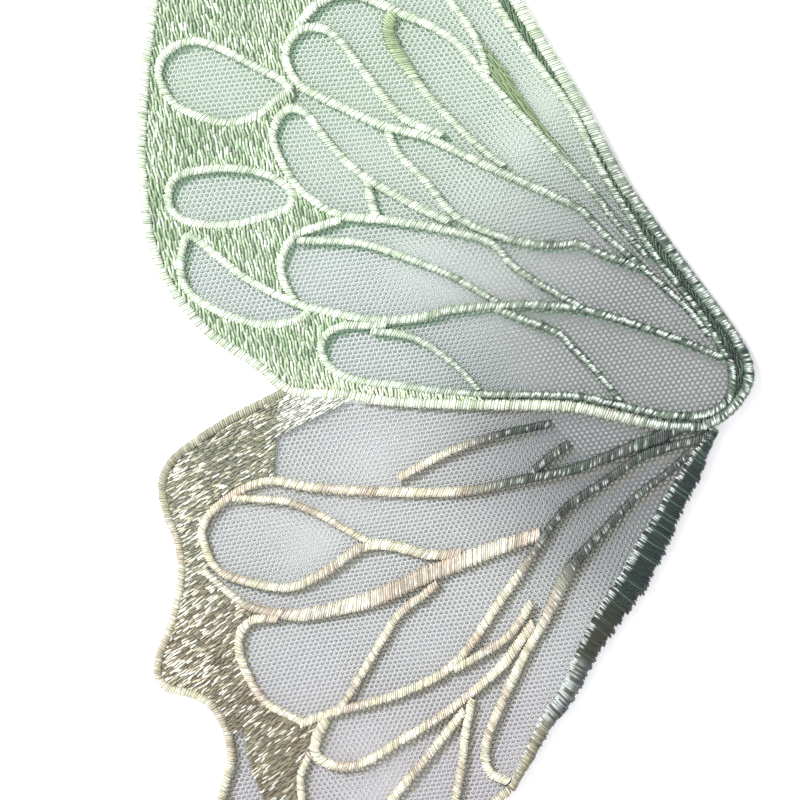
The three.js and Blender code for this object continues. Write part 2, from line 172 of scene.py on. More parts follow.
PALE_MINT = rgb(230, 240, 222)
MINT = rgb(178, 197, 164)
SAGE = rgb(158, 176, 142)
LEAF = rgb(136, 156, 116)
GREEN = rgb(106, 132, 98)
DEEP_GREEN = rgb(66, 92, 76)
NIGHT_GREEN = rgb(20, 32, 30)
TEAL = rgb(24, 44, 40)
# The white of painted highlights, for glints on the threads.
HIGHLIGHT_WHITE = rgb(238, 246, 240)
SILVER = rgb(206, 214, 210)
IVORY = rgb(236, 238, 232)
CREAM = rgb(236, 234, 216)
CHAMPAGNE = rgb(206, 200, 172)
BLUSH = rgb(184, 168, 152)
OLIVE = rgb(120, 120, 96)
OLIVE_GREY = rgb(110, 116, 100)
OLIVE_BROWN = rgb(106, 94, 76)
BROWN = rgb(50, 47, 32)
NAVY = rgb(54, 60, 72)
HEAD_GREY = rgb(168, 172, 160)
HEAD_SILVER = rgb(208, 212, 206)


# ----------------------------------------------------------------------------------------------
# The fold between the wings

joint = frame["record"]["behaviour"]["joints"][0]
axis = Vector(joint["axis"]).normalized()
pivot = Vector(joint["pos_m"])
fold_up = Vector((-axis.z, 0, axis.x)).normalized()
if fold_up.z < 0:
    fold_up = -fold_up
FOLD_BASE = np.array([pivot.x, pivot.z]) / MM
FOLD_RISE = np.array([fold_up.x, fold_up.z])


def above_fold(places):
    """How far places (..., 2) are above the line of the fold."""
    return (places - FOLD_BASE) @ FOLD_RISE


# ----------------------------------------------------------------------------------------------
# Reading the frame


def flat_mesh(name):
    """A CAD node's welded corners as (x, up, out), and its triangles."""
    node = frame["nodes"][name]
    mesh = node.data
    corners = np.empty(len(mesh.vertices) * 3)
    mesh.vertices.foreach_get("co", corners)
    corners = corners.reshape(-1, 3) @ np.array(node.matrix_world.to_3x3()).T
    mesh.calc_loop_triangles()
    triangles = np.empty(len(mesh.loop_triangles) * 3, dtype=int)
    mesh.loop_triangles.foreach_get("vertices", triangles)
    points = np.column_stack((corners[:, 0], corners[:, 2], -corners[:, 1])) / MM
    points, index = np.unique(np.round(points, 3), axis=0, return_inverse=True)
    return points, index.reshape(-1)[triangles].reshape(-1, 3)


def front_face(name):
    """The front face of a flat CAD node: its corners, its triangles and its outline's pieces."""
    points, triangles = flat_mesh(name)
    on_front = points[:, 2] > points[:, 2].max() - LEVEL
    triangles = triangles[on_front[triangles].all(axis=1)]
    sides = {}
    for a, b, c in triangles:
        for side in ((a, b), (b, c), (c, a)):
            key = (min(side), max(side))
            sides[key] = sides.get(key, 0) + 1
    outline = np.array([key for key, uses in sides.items() if uses == 1])
    return points, triangles, points[outline][:, :, :2]


def inside(places, outline):
    """Which places (n, 2) lie inside an outline given as separate straight pieces (m, 2, 2)."""
    crossings = np.zeros(len(places), dtype=int)
    for (ax, ay), (bx, by) in outline:
        if ay == by:
            continue
        spans = (places[:, 1] > ay) != (places[:, 1] > by)
        edge_x = ax + (places[:, 1] - ay) * (bx - ax) / (by - ay)
        crossings += spans & (places[:, 0] < edge_x)
    return crossings % 2 == 1


def crest_chains(points, triangles):
    """The corners along a cord's crest in order, a chain for each unbroken run, and if it loops."""
    crest = points[:, 2] > points[:, 2].max() - LEVEL
    links = {}
    for a, b, c in triangles:
        for p, q in ((a, b), (b, c), (c, a)):
            if crest[p] and crest[q]:
                links.setdefault(p, set()).add(q)
                links.setdefault(q, set()).add(p)
    left = set(links)
    chains = []
    while left:
        ends = sorted(corner for corner in left if len(links[corner] & left) < 2)
        chain = [ends[0] if ends else min(left)]
        left.remove(chain[0])
        while links[chain[-1]] & left:
            chain.append(min(links[chain[-1]] & left))
            left.remove(chain[-1])
        chains.append((chain, not ends))
    return chains


def ridges(name):
    """Each run of a CAD cord: its crest as an ordered line, its half width there, if it loops."""
    points, triangles = flat_mesh(name)
    foot = points[points[:, 2] < points[:, 2].min() + LEVEL][:, :2]
    runs = []
    for chain, closed in crest_chains(points, triangles):
        line = points[chain][:, :2]
        if len(line) < 3:
            continue
        if not closed:
            line = straight_end(straight_end(line)[::-1])[::-1]
        half = steady(half_widths(line, foot))
        place = along(line)
        inner = (place > END_SPAN) & (place < place[-1] - END_SPAN)
        if not closed and inner.any():
            half = np.minimum(half, np.interp(place, place[inner], half[inner]))
        runs.append((line, half, closed))
    return runs


def half_widths(line, foot):
    """At each point of a crest, the larger of the ways to the cord's foot on either side."""
    heading = np.gradient(line, axis=0)
    heading /= np.linalg.norm(heading, axis=1, keepdims=True)
    reach = foot[None] - line[:, None]
    gaps = np.linalg.norm(reach, axis=2)
    turn = heading[:, None, 0] * reach[..., 1] - heading[:, None, 1] * reach[..., 0]
    sides = [np.where(turn * side > 0, gaps, math.inf).min(axis=1) for side in (1, -1)]
    return np.max([np.where(gap < WIDEST_HALF, gap, 0) for gap in sides], axis=0)


def steady(values):
    """Each value as the median of itself and its two neighbours."""
    padded = np.concatenate((values[1:2], values, values[-2:-1]))
    return np.median(np.stack((padded[:-2], padded[1:-1], padded[2:])), axis=0)


def along(line):
    """The distance of each point of a line from its start."""
    return np.concatenate(([0], np.cumsum(np.linalg.norm(np.diff(line, axis=0), axis=1))))


def straight_end(line):
    """Where another cord's edge nicks the end of a crest, the end runs straight on instead."""
    lost = 0
    while len(line) > 3:
        tip = line[-1] - line[-2]
        ahead = line[-2] - line[-3]
        length = np.linalg.norm(tip)
        bend = (tip @ ahead) / (length * np.linalg.norm(ahead))
        if length > NICK_LENGTH or bend > NICK_COSINE:
            break
        line = line[:-1]
        lost += length
    ahead = line[-1] - line[-2]
    ahead = ahead / np.linalg.norm(ahead)
    return np.vstack((line[:-1], line[-1] + min(lost, LONGEST_MEND) * ahead))


def smooth_line(line, half, closed, step=CURVE_STEP):
    """A finely and evenly divided smooth curve through the crest, with its half widths."""
    if closed:
        line = np.vstack((line, line[:1]))
        half = np.append(half, half[:1])
    place = along(line)
    gaps = np.diff(place)
    if closed:
        before, after = line[-2], line[1]
        first_gap, last_gap = gaps[-1], gaps[0]
    else:
        before, after = 2 * line[0] - line[1], 2 * line[-1] - line[-2]
        first_gap, last_gap = gaps[0], gaps[-1]
    wide = np.vstack((before, line, after))
    wide_place = np.concatenate(([-first_gap], place, [place[-1] + last_gap]))
    slope = (wide[2:] - wide[:-2]) / (wide_place[2:] - wide_place[:-2])[:, None]
    fine = np.linspace(0, place[-1], int(place[-1] / step) + 2)
    cell = np.clip(np.searchsorted(place, fine, side="right") - 1, 0, len(gaps) - 1)
    t = ((fine - place[cell]) / gaps[cell])[:, None]
    span = gaps[cell][:, None]
    curve = (
        (2 * t**3 - 3 * t**2 + 1) * line[cell]
        + (t**3 - 2 * t**2 + t) * span * slope[cell]
        + (3 * t**2 - 2 * t**3) * line[cell + 1]
        + (t**3 - t**2) * span * slope[cell + 1]
    )
    fine_half = np.interp(fine, place, half)
    if closed:
        return curve, fine_half
    back = int(END_RUN / step)
    head = curve[0] - curve[back]
    tail = curve[-1] - curve[-1 - back]
    head = curve[0] + end_reach(curve[0], head / np.linalg.norm(head))
    tail = curve[-1] + end_reach(curve[-1], tail / np.linalg.norm(tail))
    curve = np.vstack((head, curve, tail))
    return curve, np.concatenate((fine_half[:1], fine_half, fine_half[-1:]))


def end_reach(tip, heading):
    """A cord runs on a little under the one it meets, and under the border where they fold."""
    below = (FOLD_BASE - tip) @ FOLD_RISE
    if not 0 < below < FOLD_ZONE:
        return END_REACH * heading
    rise = max(heading @ FOLD_RISE, SHALLOWEST_SINE)
    return min((below + UNDER_BORDER) / rise, LONGEST_REACH) * heading


# ----------------------------------------------------------------------------------------------
# Making meshes


def make_piece(name, parts, material):
    """One piece from parts of (points, faces, colours), replacing the CAD node of the same name."""
    points = np.vstack([part[0] for part in parts])
    colours = np.vstack([part[2] for part in parts])
    loops = []
    sizes = []
    start = 0
    for part_points, faces, _ in parts:
        loops.append((faces + start).reshape(-1))
        sizes.append(np.full(len(faces), faces.shape[1]))
        start += len(part_points)
    loops = np.concatenate(loops)
    sizes = np.concatenate(sizes)
    mesh = bpy.data.meshes.new(name + "_worked")
    mesh.vertices.add(len(points))
    world = np.column_stack((points[:, 0], -points[:, 2], points[:, 1])) * MM
    mesh.vertices.foreach_set("co", world.reshape(-1))
    mesh.loops.add(len(loops))
    mesh.loops.foreach_set("vertex_index", loops)
    mesh.polygons.add(len(sizes))
    mesh.polygons.foreach_set("loop_start", np.concatenate(([0], np.cumsum(sizes)[:-1])))
    mesh.polygons.foreach_set("use_smooth", np.ones(len(sizes), dtype=bool))
    mesh.update(calc_edges=True)
    tint = mesh.color_attributes.new("tint", "FLOAT_COLOR", "POINT")
    tint.data.foreach_set("color", np.column_stack((colours, np.ones(len(colours)))).reshape(-1))
    mesh.materials.append(material)
    piece = bpy.data.objects.new(name + "_worked", mesh)
    bpy.context.scene.collection.objects.link(piece)
    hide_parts(name)
    if name.startswith("forewing"):
        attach(piece, "forewing")
    else:
        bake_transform(piece)
    return piece


def tubes(paths, across, half_width, half_thickness, sides, colours):
    """Thread laid along paths (n, m, 3), each as wide along across as half_width says."""
    run = np.gradient(paths, axis=1)
    run /= np.linalg.norm(run, axis=2, keepdims=True)
    wide = across - (across * run).sum(axis=2, keepdims=True) * run
    wide /= np.linalg.norm(wide, axis=2, keepdims=True)
    thick = np.cross(run, wide)
    turn = np.arange(sides) * 2 * math.pi / sides
    ring = (
        np.asarray(half_width)[..., None, None] * np.cos(turn)[:, None] * wide[:, :, None]
        + half_thickness * np.sin(turn)[:, None] * thick[:, :, None]
    )
    points = paths[:, :, None] + ring
    count, length = paths.shape[:2]
    corner = np.arange(count * length * sides).reshape(count, length, sides)
    beside = np.roll(corner, -1, axis=2)
    faces = np.stack(
        (corner[:, :-1], beside[:, :-1], beside[:, 1:], corner[:, 1:]), axis=-1
    ).reshape(-1, 4)
    tint = np.repeat(colours[:, :, None], sides, axis=2)
    return points.reshape(-1, 3), faces, tint.reshape(-1, 3)


# ----------------------------------------------------------------------------------------------
# Colour


def ease(value, low, high):
    """0 up to low, 1 from high on, and a smooth step between them."""
    t = np.clip((value - low) / (high - low), 0, 1)
    return t * t * (3 - 2 * t)


def mix(first, second, share):
    """The first colour where share is 0, and the second where it is 1."""
    share = np.asarray(share)[..., None]
    return first * (1 - share) + second * share


def from_root(places):
    """How far places (n, 2) are from the root."""
    return np.linalg.norm(places, axis=1)


def drift(place, seed, wavelength):
    """A slow wander between 0 and 1 along a line."""
    phase = np.random.default_rng(seed).uniform(0, 2 * math.pi, 2)
    wave = (
        np.sin(2 * math.pi * place / wavelength + phase[0])
        + 0.6 * np.sin(2 * math.pi * place / (0.43 * wavelength) + phase[1])
    )
    return np.clip(0.5 + wave / 3.2, 0, 1)


def chance(turn):
    """One random number for each stitch, repeated for all its points."""
    return dice.random(turn.max() + 1)[turn]


def glints(colour, across, turn, share, strength):
    """Painted highlights: bright crowns on some of the stitches."""
    crown = np.exp(-(((across - 0.5 * chance(turn) + 0.05) / 0.38) ** 2))
    return mix(colour, HIGHLIGHT_WHITE, strength * crown * (chance(turn) < share))


# The paints of the cords take the points' places, how far across the cord they are, from -1 at its
# left edge to 1 at its right, how far along it, the numbers of their stitches, and its seed.


def fore_satin(places, across, run, turn, seed):
    """Mint satin that deepens towards the root, with painted glints on some stitches' crowns, more
    of them towards the root.
    """
    base = mix(PALE_MINT, MINT, 0.65 * drift(run, seed, 14))
    base = mix(base, GREEN, 0.6 * chance(turn) ** 2)
    dark = mix(DEEP_GREEN, NIGHT_GREEN, chance(turn))
    near = 1 - ease(from_root(places), 20, 84)
    colour = mix(base, dark, np.clip(near * (0.75 + 0.4 * chance(turn)), 0, 1))
    return glints(colour, across, turn, 0.3 + 0.35 * near, 0.5 + 0.35 * near)


def fore_border(places, across, run, turn, seed):
    """The forewing's edge: mint on the outer margin, cream along the bottom, dark at the root."""
    colour = fore_satin(places, across, run, turn, seed)
    low = ease(-places[:, 1], -6, 2) * ease(-places[:, 0], 2, 30)
    pale = mix(mix(PALE_MINT, CREAM, 0.5), LEAF, 0.8 * chance(turn) ** 2)
    return mix(colour, pale, 0.75 * low)


def plain_green(places, across, run, turn, seed):
    """Pale satin whose broad upper end is smooth green."""
    shade = mix(SAGE, LEAF, 0.8 * chance(turn))
    head = ease(places[:, 1], 56, 66)
    return mix(fore_satin(places, across, run, turn, seed), shade, np.maximum(head, 0.15))


def hind_satin(places, across, run, turn, seed):
    """Champagne satin with blush stretches, going dark towards the root, with painted glints on
    some stitches' crowns, fewer near the root.
    """
    base = mix(CREAM, CHAMPAGNE, 0.2 + 0.8 * drift(run, seed, 11))
    base = mix(base, BLUSH, 0.8 * ease(drift(run, seed + 50, 23), 0.45, 0.85))
    base = mix(base, OLIVE, 0.5 * chance(turn) ** 2)
    tone = mix(DEEP_GREEN, NAVY, drift(run, seed + 90, 13))
    dark = mix(tone, NIGHT_GREEN, 0.4 + 0.6 * chance(turn))
    near = 1 - ease(from_root(places), 43, 61)
    colour = mix(base, dark, near * (0.9 + 0.1 * chance(turn)))
    return glints(colour, across, turn, 0.35 - 0.1 * near, 0.55 - 0.1 * near)


def hind_border(places, across, run, turn, seed):
    """The hindwing's edge: olive along the top, cream down the outer side."""
    base = hind_satin(places, across, run, turn, seed)
    upper = ease(places[:, 1], -34, -22)
    base = mix(base, mix(OLIVE, LEAF, 0.5 * chance(turn)), 0.6 * upper)
    return mix(base, OLIVE, 0.25 * drift(run, seed + 5, 19) + 0.15 * (across > 0.2))


def blush_vein(places, across, run, turn, seed):
    """The widest vein, worked in cream with long blush stretches and painted glints on some
    stitches.
    """
    base = mix(CREAM, BLUSH, 0.4 + 0.55 * ease(drift(run, seed, 31), 0.3, 0.75))
    base = mix(base, OLIVE, 0.6 * chance(turn) ** 2)
    return glints(base, across, turn, 0.4, 0.6)


def band_satin(places, across, run, turn, seed):
    """The trailing band: black-green, then brown, then silver with a dark outer side, then
    champagne, with a painted highlight along its inner side, which faces the light, all the way.
    Its outer side, away from the light, is darker: partly the thread's colour, partly painted
    shade."""
    pick = chance(turn)
    down = -places[:, 1]
    base = mix(TEAL, NIGHT_GREEN, pick)
    base = mix(base, DEEP_GREEN, 0.7 * (chance(turn) < 0.2))
    base = mix(base, BROWN, ease(down, 40, 50) * (0.5 + 0.4 * pick))
    # The outer side, away from the light, is darker: partly the thread's own colour, partly painted
    # shade.
    outer = ease(across, 0, 0.6)
    base = mix(base, mix(NAVY, NIGHT_GREEN, pick), 0.7 * outer * ease(down, 50, 58))
    silver = ease(down, 53, 59) * (1 - ease(down, 66, 70)) * (1 - 0.85 * outer)
    base = mix(base, SILVER, silver * (0.1 + 0.5 * (chance(turn) < 0.6)))
    twine = mix(CHAMPAGNE, BROWN, 0.25 + 0.5 * chance(turn))
    base = mix(base, twine, ease(down, 66, 70) * (1 - 0.5 * outer))
    # Painted highlight: pale glints along the inner side, which faces the light.
    lip = ease(-across, 0.5, 0.8) * (chance(turn) < 0.6)
    # The outer edge, away from the light, darkens: the thread's own navy and painted shade.
    fringe = ease(across, 0.5, 1) * (chance(turn) < 0.5)
    base = mix(base, mix(DEEP_GREEN, NAVY, 0.5), 0.35 * fringe)
    return mix(base, SILVER, 0.75 * lip)


# The paints of the fills take each stitch's middle and the number of its row.


def margin_paint(x, y, row):
    """Mint and green rows in soft patches, partly the thread's shades and partly painted sheen,
    with painted glints on a few stitches, a few dark stitches, and cream along the bottom."""
    bright = mix(PALE_MINT, MINT, dice.random(len(x)))
    green = mix(MINT, GREEN, 0.2 + 0.8 * dice.random(len(x)))
    # Soft patches of paler and greener rows: partly the thread's shades, partly painted sheen.
    patch = 0.5 + 0.5 * np.sin(x / 4.7 + 1.3 * np.sin(y / 6.1)) * np.cos(y / 5.3)
    colour = mix(bright, green, np.clip(0.32 + 0.3 * (row % 2) + 0.35 * patch, 0, 1))
    # Painted highlights: a few stitches glint white.
    colour = mix(colour, HIGHLIGHT_WHITE, 0.55 * (dice.random(len(x)) < 0.1))
    colour = mix(colour, GREEN, 0.7 * (dice.random(len(x)) < 0.14))
    low = ease(-y, -9, 3)
    return mix(colour, mix(MINT, CREAM, dice.random(len(x))), 0.7 * low)


def strip_paint(x, y, row):
    """Green, going dark towards the root."""
    colour = mix(GREEN, DEEP_GREEN, dice.random(len(x)))
    near = 1 - ease(np.hypot(x, y), 10, 70)
    return mix(colour, mix(NIGHT_GREEN, DEEP_GREEN, dice.random(len(x))), near)


def blade_paint(x, y, row):
    """Even leaf green."""
    return mix(LEAF, GREEN, 0.35 * dice.random(len(x)))


def olive_paint(x, y, row):
    """Olive at the top, browner below, crossed by pale stitches that crowd at the left and in the
    grey corner by the forewing: partly pale thread and partly painted glints."""
    olive = mix(OLIVE_GREY, OLIVE_BROWN, ease(-y, 30, 55))
    olive = mix(olive, mix(OLIVE, CHAMPAGNE, 0.4), 0.8 * dice.random(len(x)))
    head = ease(x, -89, -85) * ease(y, -14, -10)
    olive = mix(olive, HEAD_GREY, head)
    share = 0.19 + 0.3 * ease(-x, 94, 107) + 0.03 * ease(-y, 30, 50) + 0.35 * head
    bright = dice.random(len(x)) < share
    pale = mix(mix(CHAMPAGNE, HEAD_SILVER, head), IVORY, dice.random(len(x)))
    return mix(olive, pale, 0.9 * bright)


# The paints of the nets take the strands' middles.


def fore_net_paint(places):
    """Mint at the top, grey lower down, and dark at the root."""
    top = mix(rgb(184, 200, 186), rgb(186, 194, 192), 1 - ease(places[:, 1], 10, 60))
    near = 1 - ease(from_root(places), 22, 70)
    # The last colour is the painted shadow that the cords cast on the net.
    return shaded(mix(top, rgb(112, 118, 117), near), places, rgb(104, 146, 112))


def hind_net_paint(places):
    """Grey, a little warmer lower down, and dark at the root."""
    base = mix(rgb(184, 188, 188), rgb(180, 178, 182), ease(-places[:, 1], 40, 80))
    near = 1 - ease(from_root(places), 24, 66)
    # The last colour is the painted shadow that the cords cast on the net.
    return shaded(mix(base, rgb(102, 108, 110), near), places, rgb(124, 124, 108))


def shaded(colour, places, tone):
    """Painted shadow: net on the lower right of a cord, where its shadow falls, takes tone."""
    cells = np.floor(places / SHADE_CELL).astype(int)
    hit = np.array([(across, up) in cord_shadow_cells for across, up in cells])
    return mix(colour, tone, SHADE_STRENGTH * hit)


def cells_beside(cords):
    """The cells on the lower right of the cords, where their painted shadow falls on the net."""
    cells = set()
    for name in cords:
        for line, half, closed in ridges(name):
            curve, half = smooth_line(line, half, closed, step=0.3)
            for distance in (0.2, 0.5, 0.8, 1.1, 1.4):
                for skew in (-0.3, 0, 0.3):
                    shift = (half + distance)[:, None] * SHADE_SIDE + skew * SHADE_ALONG
                    cells.update(map(tuple, np.floor((curve + shift) / SHADE_CELL).astype(int)))
    return cells


# ----------------------------------------------------------------------------------------------
# Satin cords: one thread wound over the padding and back underneath, stitch after stitch


def wind(name, slot, paint, material, **work):
    """A satin cord over the crest of its CAD node. work is how its thread is laid."""
    low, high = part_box(name)
    foot, top = -high.y / MM, -low.y / MM
    seed = sum(name.encode())
    parts = []
    for line, half, closed in ridges(name):
        curve, half = smooth_line(line, half, closed)
        parts.append(padding(curve, half, foot, top, paint, seed))
        parts.append(winding(curve, half, foot, top, paint, seed, **work))
    make_piece(name, parts, material)


def padding(curve, half, foot, top, paint, seed):
    """The filling that the thread is wound over, seen as a line between two stitches, painted
    darker as the shade in that gap.
    """
    curve, half = curve[::PADDING_SKIP], half[::PADDING_SKIP]
    place = along(curve)
    height = top - foot
    path = np.column_stack((curve, np.full(len(curve), foot + PADDING_LEVEL * height)))[None]
    heading = np.gradient(curve, axis=0)
    across = np.column_stack((-heading[:, 1], heading[:, 0], 0 * place))[None]
    # Painted shade: the padding is darker than its thread.
    colour = PADDING_SHADE * paint(curve, 0 * place, place, np.arange(len(curve)), seed)
    half_width = PADDING_WIDTH * half[None]
    return tubes(
        path, across, half_width, PADDING_THICKNESS * height, PADDING_SIDES, colour[None]
    )


def winding(curve, half, foot, top, paint, seed, pitch, ragged, slant, flare):
    """A thread wound over one run of padding. ragged makes stitches longer and shorter, slant
    leans them, and flare scales the reach on the right side, at the run's ends and between."""
    place = along(curve)
    length = place[-1]
    turns = max(FEWEST_TURNS, round(length / pitch))
    count = turns * POINTS_PER_TURN + 1
    index = np.arange(count)
    turn = np.minimum(index // POINTS_PER_TURN, turns - 1)
    angle = 2 * math.pi * (index % POINTS_PER_TURN) / POINTS_PER_TURN
    across = np.cos(angle)
    rise = np.sin(angle)
    upper_side = rise >= 0

    even_run = length * index / (count - 1)
    reach = np.interp(even_run, place, half)
    edge = np.where(across > 0, dice.random(turns)[turn], dice.random(turns)[turn])
    reach = reach * (1 + ragged * (edge - 0.5)) + 0.02
    sway = SWAY * (dice.random(turns)[turn] - 0.5) * pitch
    lean = np.where(upper_side, slant * across * np.minimum(reach, LONGEST_LEAN), 0)
    run = np.clip(even_run + lean + sway, 0, length)
    ahead = place_on(curve, place, run + HEADING_STEP)
    heading = ahead - place_on(curve, place, run - HEADING_STEP)
    heading /= np.linalg.norm(heading, axis=1, keepdims=True)
    left = np.column_stack((-heading[:, 1], heading[:, 0]))
    to_right = across * np.where(left[:, 0] >= 0, 1, -1)
    inward = ease(np.minimum(even_run, length - even_run), 0, FLARE_SPAN)
    broad = flare[0] + (flare[1] - flare[0]) * inward
    reach = reach * np.where(to_right > 0, broad, 1)
    side = place_on(curve, place, run) + left * (across * reach)[:, None]

    crown = 1 - CROWN_SPREAD * dice.random(turns)
    upper = (top - foot - 1.2 * SATIN_THREAD[1]) * np.abs(rise) ** ROUNDNESS * crown[turn]
    lower = (foot + BACK_DEPTH) * np.minimum(1, 2.2 * np.abs(rise))
    out = foot + np.where(upper_side, upper, -lower)

    colour = paint(side, to_right, length * turn / turns, turn, seed)
    shades = 1.04 + STITCH_SPREAD * (dice.random(turns) - 0.5)
    flecks = 1 + FLECK_SPREAD * (dice.random(count) - 0.5)
    colour = np.clip(colour * (shades[turn] * flecks)[:, None], 0, 1)
    path = np.column_stack((side, out))[None]
    lengthwise = np.column_stack((heading, np.zeros(count)))[None]
    half_width = SATIN_THREAD[0] * pitch / SATIN_PITCH
    return tubes(path, lengthwise, half_width, SATIN_THREAD[1], THREAD_SIDES, colour[None])


def place_on(curve, place, run):
    """Where a curve is after each length of run, with place as its points' distances."""
    return np.column_stack([np.interp(run, place, curve[:, k]) for k in (0, 1)])


# ----------------------------------------------------------------------------------------------
# Fills: rows of running stitches over a ground painted dark as the shade between them,
# and their reverse behind the net


def fill(name, paint, ground, stitch, heading, pitch=ROW_PITCH, fan=0, shift=(0, 0)):
    """Rows at a heading in degrees, with stitches of one usual length. fan is how far a row
    drifts sideways for each millimetre along it and from the middle row, and shift carries the
    corners at the fold on under the forewing's border."""
    points, triangles, outline = front_face(name)
    for corners in (points[:, :2], outline):
        at_fold = above_fold(corners) > -FOLD_MARGIN
        corners[at_fold] += shift
    low = points[:, :2].min(axis=0)
    high = points[:, :2].max(axis=0)
    middle = (low + high) / 2
    radius = np.linalg.norm(high - low) / 2 + 2
    c, s = math.cos(math.radians(heading)), math.sin(math.radians(heading))
    rows = np.arange(-radius, radius, pitch)
    steps = np.arange(-radius, radius, FILL_STEP)
    v = rows[:, None] + (fan * rows)[:, None] * steps
    u = np.broadcast_to(steps, v.shape)
    x = middle[0] + u * c - v * s
    y = middle[1] + u * s + v * c
    covered = inside(np.column_stack((x.reshape(-1), y.reshape(-1))), outline).reshape(x.shape)
    starts, stops, row_of = stitches(covered, steps, stitch)

    u = starts[:, None] + (stops - starts)[:, None] * STITCH_KNOTS
    v = rows[row_of][:, None] + (fan * rows)[row_of][:, None] * u
    tilt = TILT_SPREAD * (dice.random(len(row_of)) - 0.5)[:, None]
    v = v + ROW_SPREAD * pitch * (dice.random(len(row_of)) - 0.5)[:, None]
    v = v + tilt * (STITCH_KNOTS - 0.5) * stitch
    phase = 2 * math.pi * dice.random(len(rows))[row_of][:, None]
    v = v + ROW_WAVE * pitch * np.sin(1.5 * u + phase)
    x = middle[0] + u * c - v * s
    y = middle[1] + u * s + v * c
    face = points[:, 2].max()
    lift = face - FILL_SINK + STITCH_DIPS + 0.12 * dice.random(len(row_of))[:, None]
    path = np.stack((x, y, lift), axis=2)
    across = np.zeros_like(path)
    across[..., 0] = -s
    across[..., 1] = c

    colour = paint(x.mean(axis=1), y.mean(axis=1), row_of)
    colour = np.clip(colour * (1 + FILL_SPREAD * (dice.random((len(row_of), 1)) - 0.5)), 0, 1)
    colour = np.repeat(colour[:, None], len(STITCH_KNOTS), axis=1)
    half_width = FILL_THREAD[0] * pitch / ROW_PITCH
    thread = tubes(path, across, half_width, FILL_THREAD[1], THREAD_SIDES, colour)
    # Painted shade: the ground under the stitches is a darker sheet, for the shade between them.
    base = points.copy()
    base[:, 2] = face - GROUND_SINK
    under = (base, triangles, np.repeat(ground[None], len(points), axis=0))
    back = path.copy()
    back[:, :, 2] = 0.02 - 0.5 * (lift - base[0, 2])
    reverse = tubes(back, across, half_width, FILL_THREAD[1], BACK_SIDES, BACK_SHADE * colour)
    make_piece(name, [under, thread, reverse], tatami)


def stitches(covered, steps, stitch):
    """Cuts each covered stretch of each row into stitches: their starts, stops and rows."""
    starts, stops, row_of = [], [], []
    for row, here in enumerate(covered):
        change = np.flatnonzero(np.diff(np.concatenate(([0], here.astype(int), [0]))))
        for first, last in zip(change[::2], change[1::2] - 1):
            begin = steps[first] - STITCH_OVERLAP
            finish = steps[last] + STITCH_OVERLAP
            cuts = np.arange(begin - stitch * ((row * ROW_STAGGER) % 1), finish, stitch)
            cuts = cuts + CUT_SPREAD * stitch * (dice.random(len(cuts)) - 0.5)
            kept = (cuts > begin + STITCH_OVERLAP) & (cuts < finish - STITCH_OVERLAP)
            cuts = np.concatenate(([begin], cuts[kept], [finish]))
            starts.extend(cuts[:-1])
            stops.extend(cuts[1:])
            row_of.extend([row] * (len(cuts) - 1))
    return np.array(starts), np.array(stops), np.array(row_of)


# ----------------------------------------------------------------------------------------------
# Net


def net(name, paint, covers, slip):
    """A sheet of hexagonal tulle over a CAD plate, gently drawn out of true. covers(places,
    outline) says where it lies, and slip how far this layer drifts over the other one."""
    points, triangles, outline = front_face(name)
    low = outline.reshape(-1, 2).min(axis=0)
    high = outline.reshape(-1, 2).max(axis=0)
    a, b = hexagon_sides(np.abs(outline).max() * 1.5)
    a, b = draw(a, slip), draw(b, slip)
    middle = (a + b) / 2
    near = ((middle > low - NET_MARGIN) & (middle < high + NET_MARGIN)).all(axis=1)
    a, b, middle = a[near], b[near], middle[near]
    keep = covers(middle, outline)
    a, b = a[keep], b[keep]
    solid, faces = strands(a, b, points[:, 2].max() - NET_SINK)
    colour = np.repeat(paint((a + b) / 2), 6, axis=0)
    piece = make_piece(name, [(solid, faces, colour)], tulle)


def hexagon_sides(reach):
    """Both ends of every side of a net of hexagons round the origin."""
    columns = np.arange(-reach, reach, NET_PITCH)
    lines = np.arange(-reach, reach, NET_PITCH * math.sqrt(3) / 2)
    x, y = np.meshgrid(columns, lines)
    x = x + 0.5 * NET_PITCH * (np.arange(len(lines)) % 2)[:, None]
    centres = np.column_stack((x.reshape(-1), y.reshape(-1)))
    side = NET_PITCH / math.sqrt(3)
    angles = np.radians([-30, 30, 90, 150])
    knots = side * np.column_stack((np.cos(angles), np.sin(angles)))
    starts = (centres[:, None] + knots[None, :3]).reshape(-1, 2)
    stops = (centres[:, None] + knots[None, 1:]).reshape(-1, 2)
    return starts, stops


def strands(a, b, level):
    """A three-sided strand from each a to each b, ridge outwards."""
    run = b - a
    run /= np.linalg.norm(run, axis=1, keepdims=True)
    beside = np.column_stack((-run[:, 1], run[:, 0])) * NET_STRAND[0] / 2
    rings = []
    for end in (a, b):
        out = level + 0.08 * np.sin(end[:, 0] / 3.1) * np.cos(end[:, 1] / 4.3)
        for push, lift in ((1, -0.4), (-1, -0.4), (0, 0.6)):
            rings.append(np.column_stack((end + push * beside, out + lift * NET_STRAND[1])))
    solid = np.stack(rings, axis=1)
    corner = np.arange(len(solid) * 6).reshape(-1, 6)
    quads = ((0, 1, 4, 3), (1, 2, 5, 4), (2, 0, 3, 5))
    return solid.reshape(-1, 3), np.concatenate([corner[:, quad] for quad in quads])


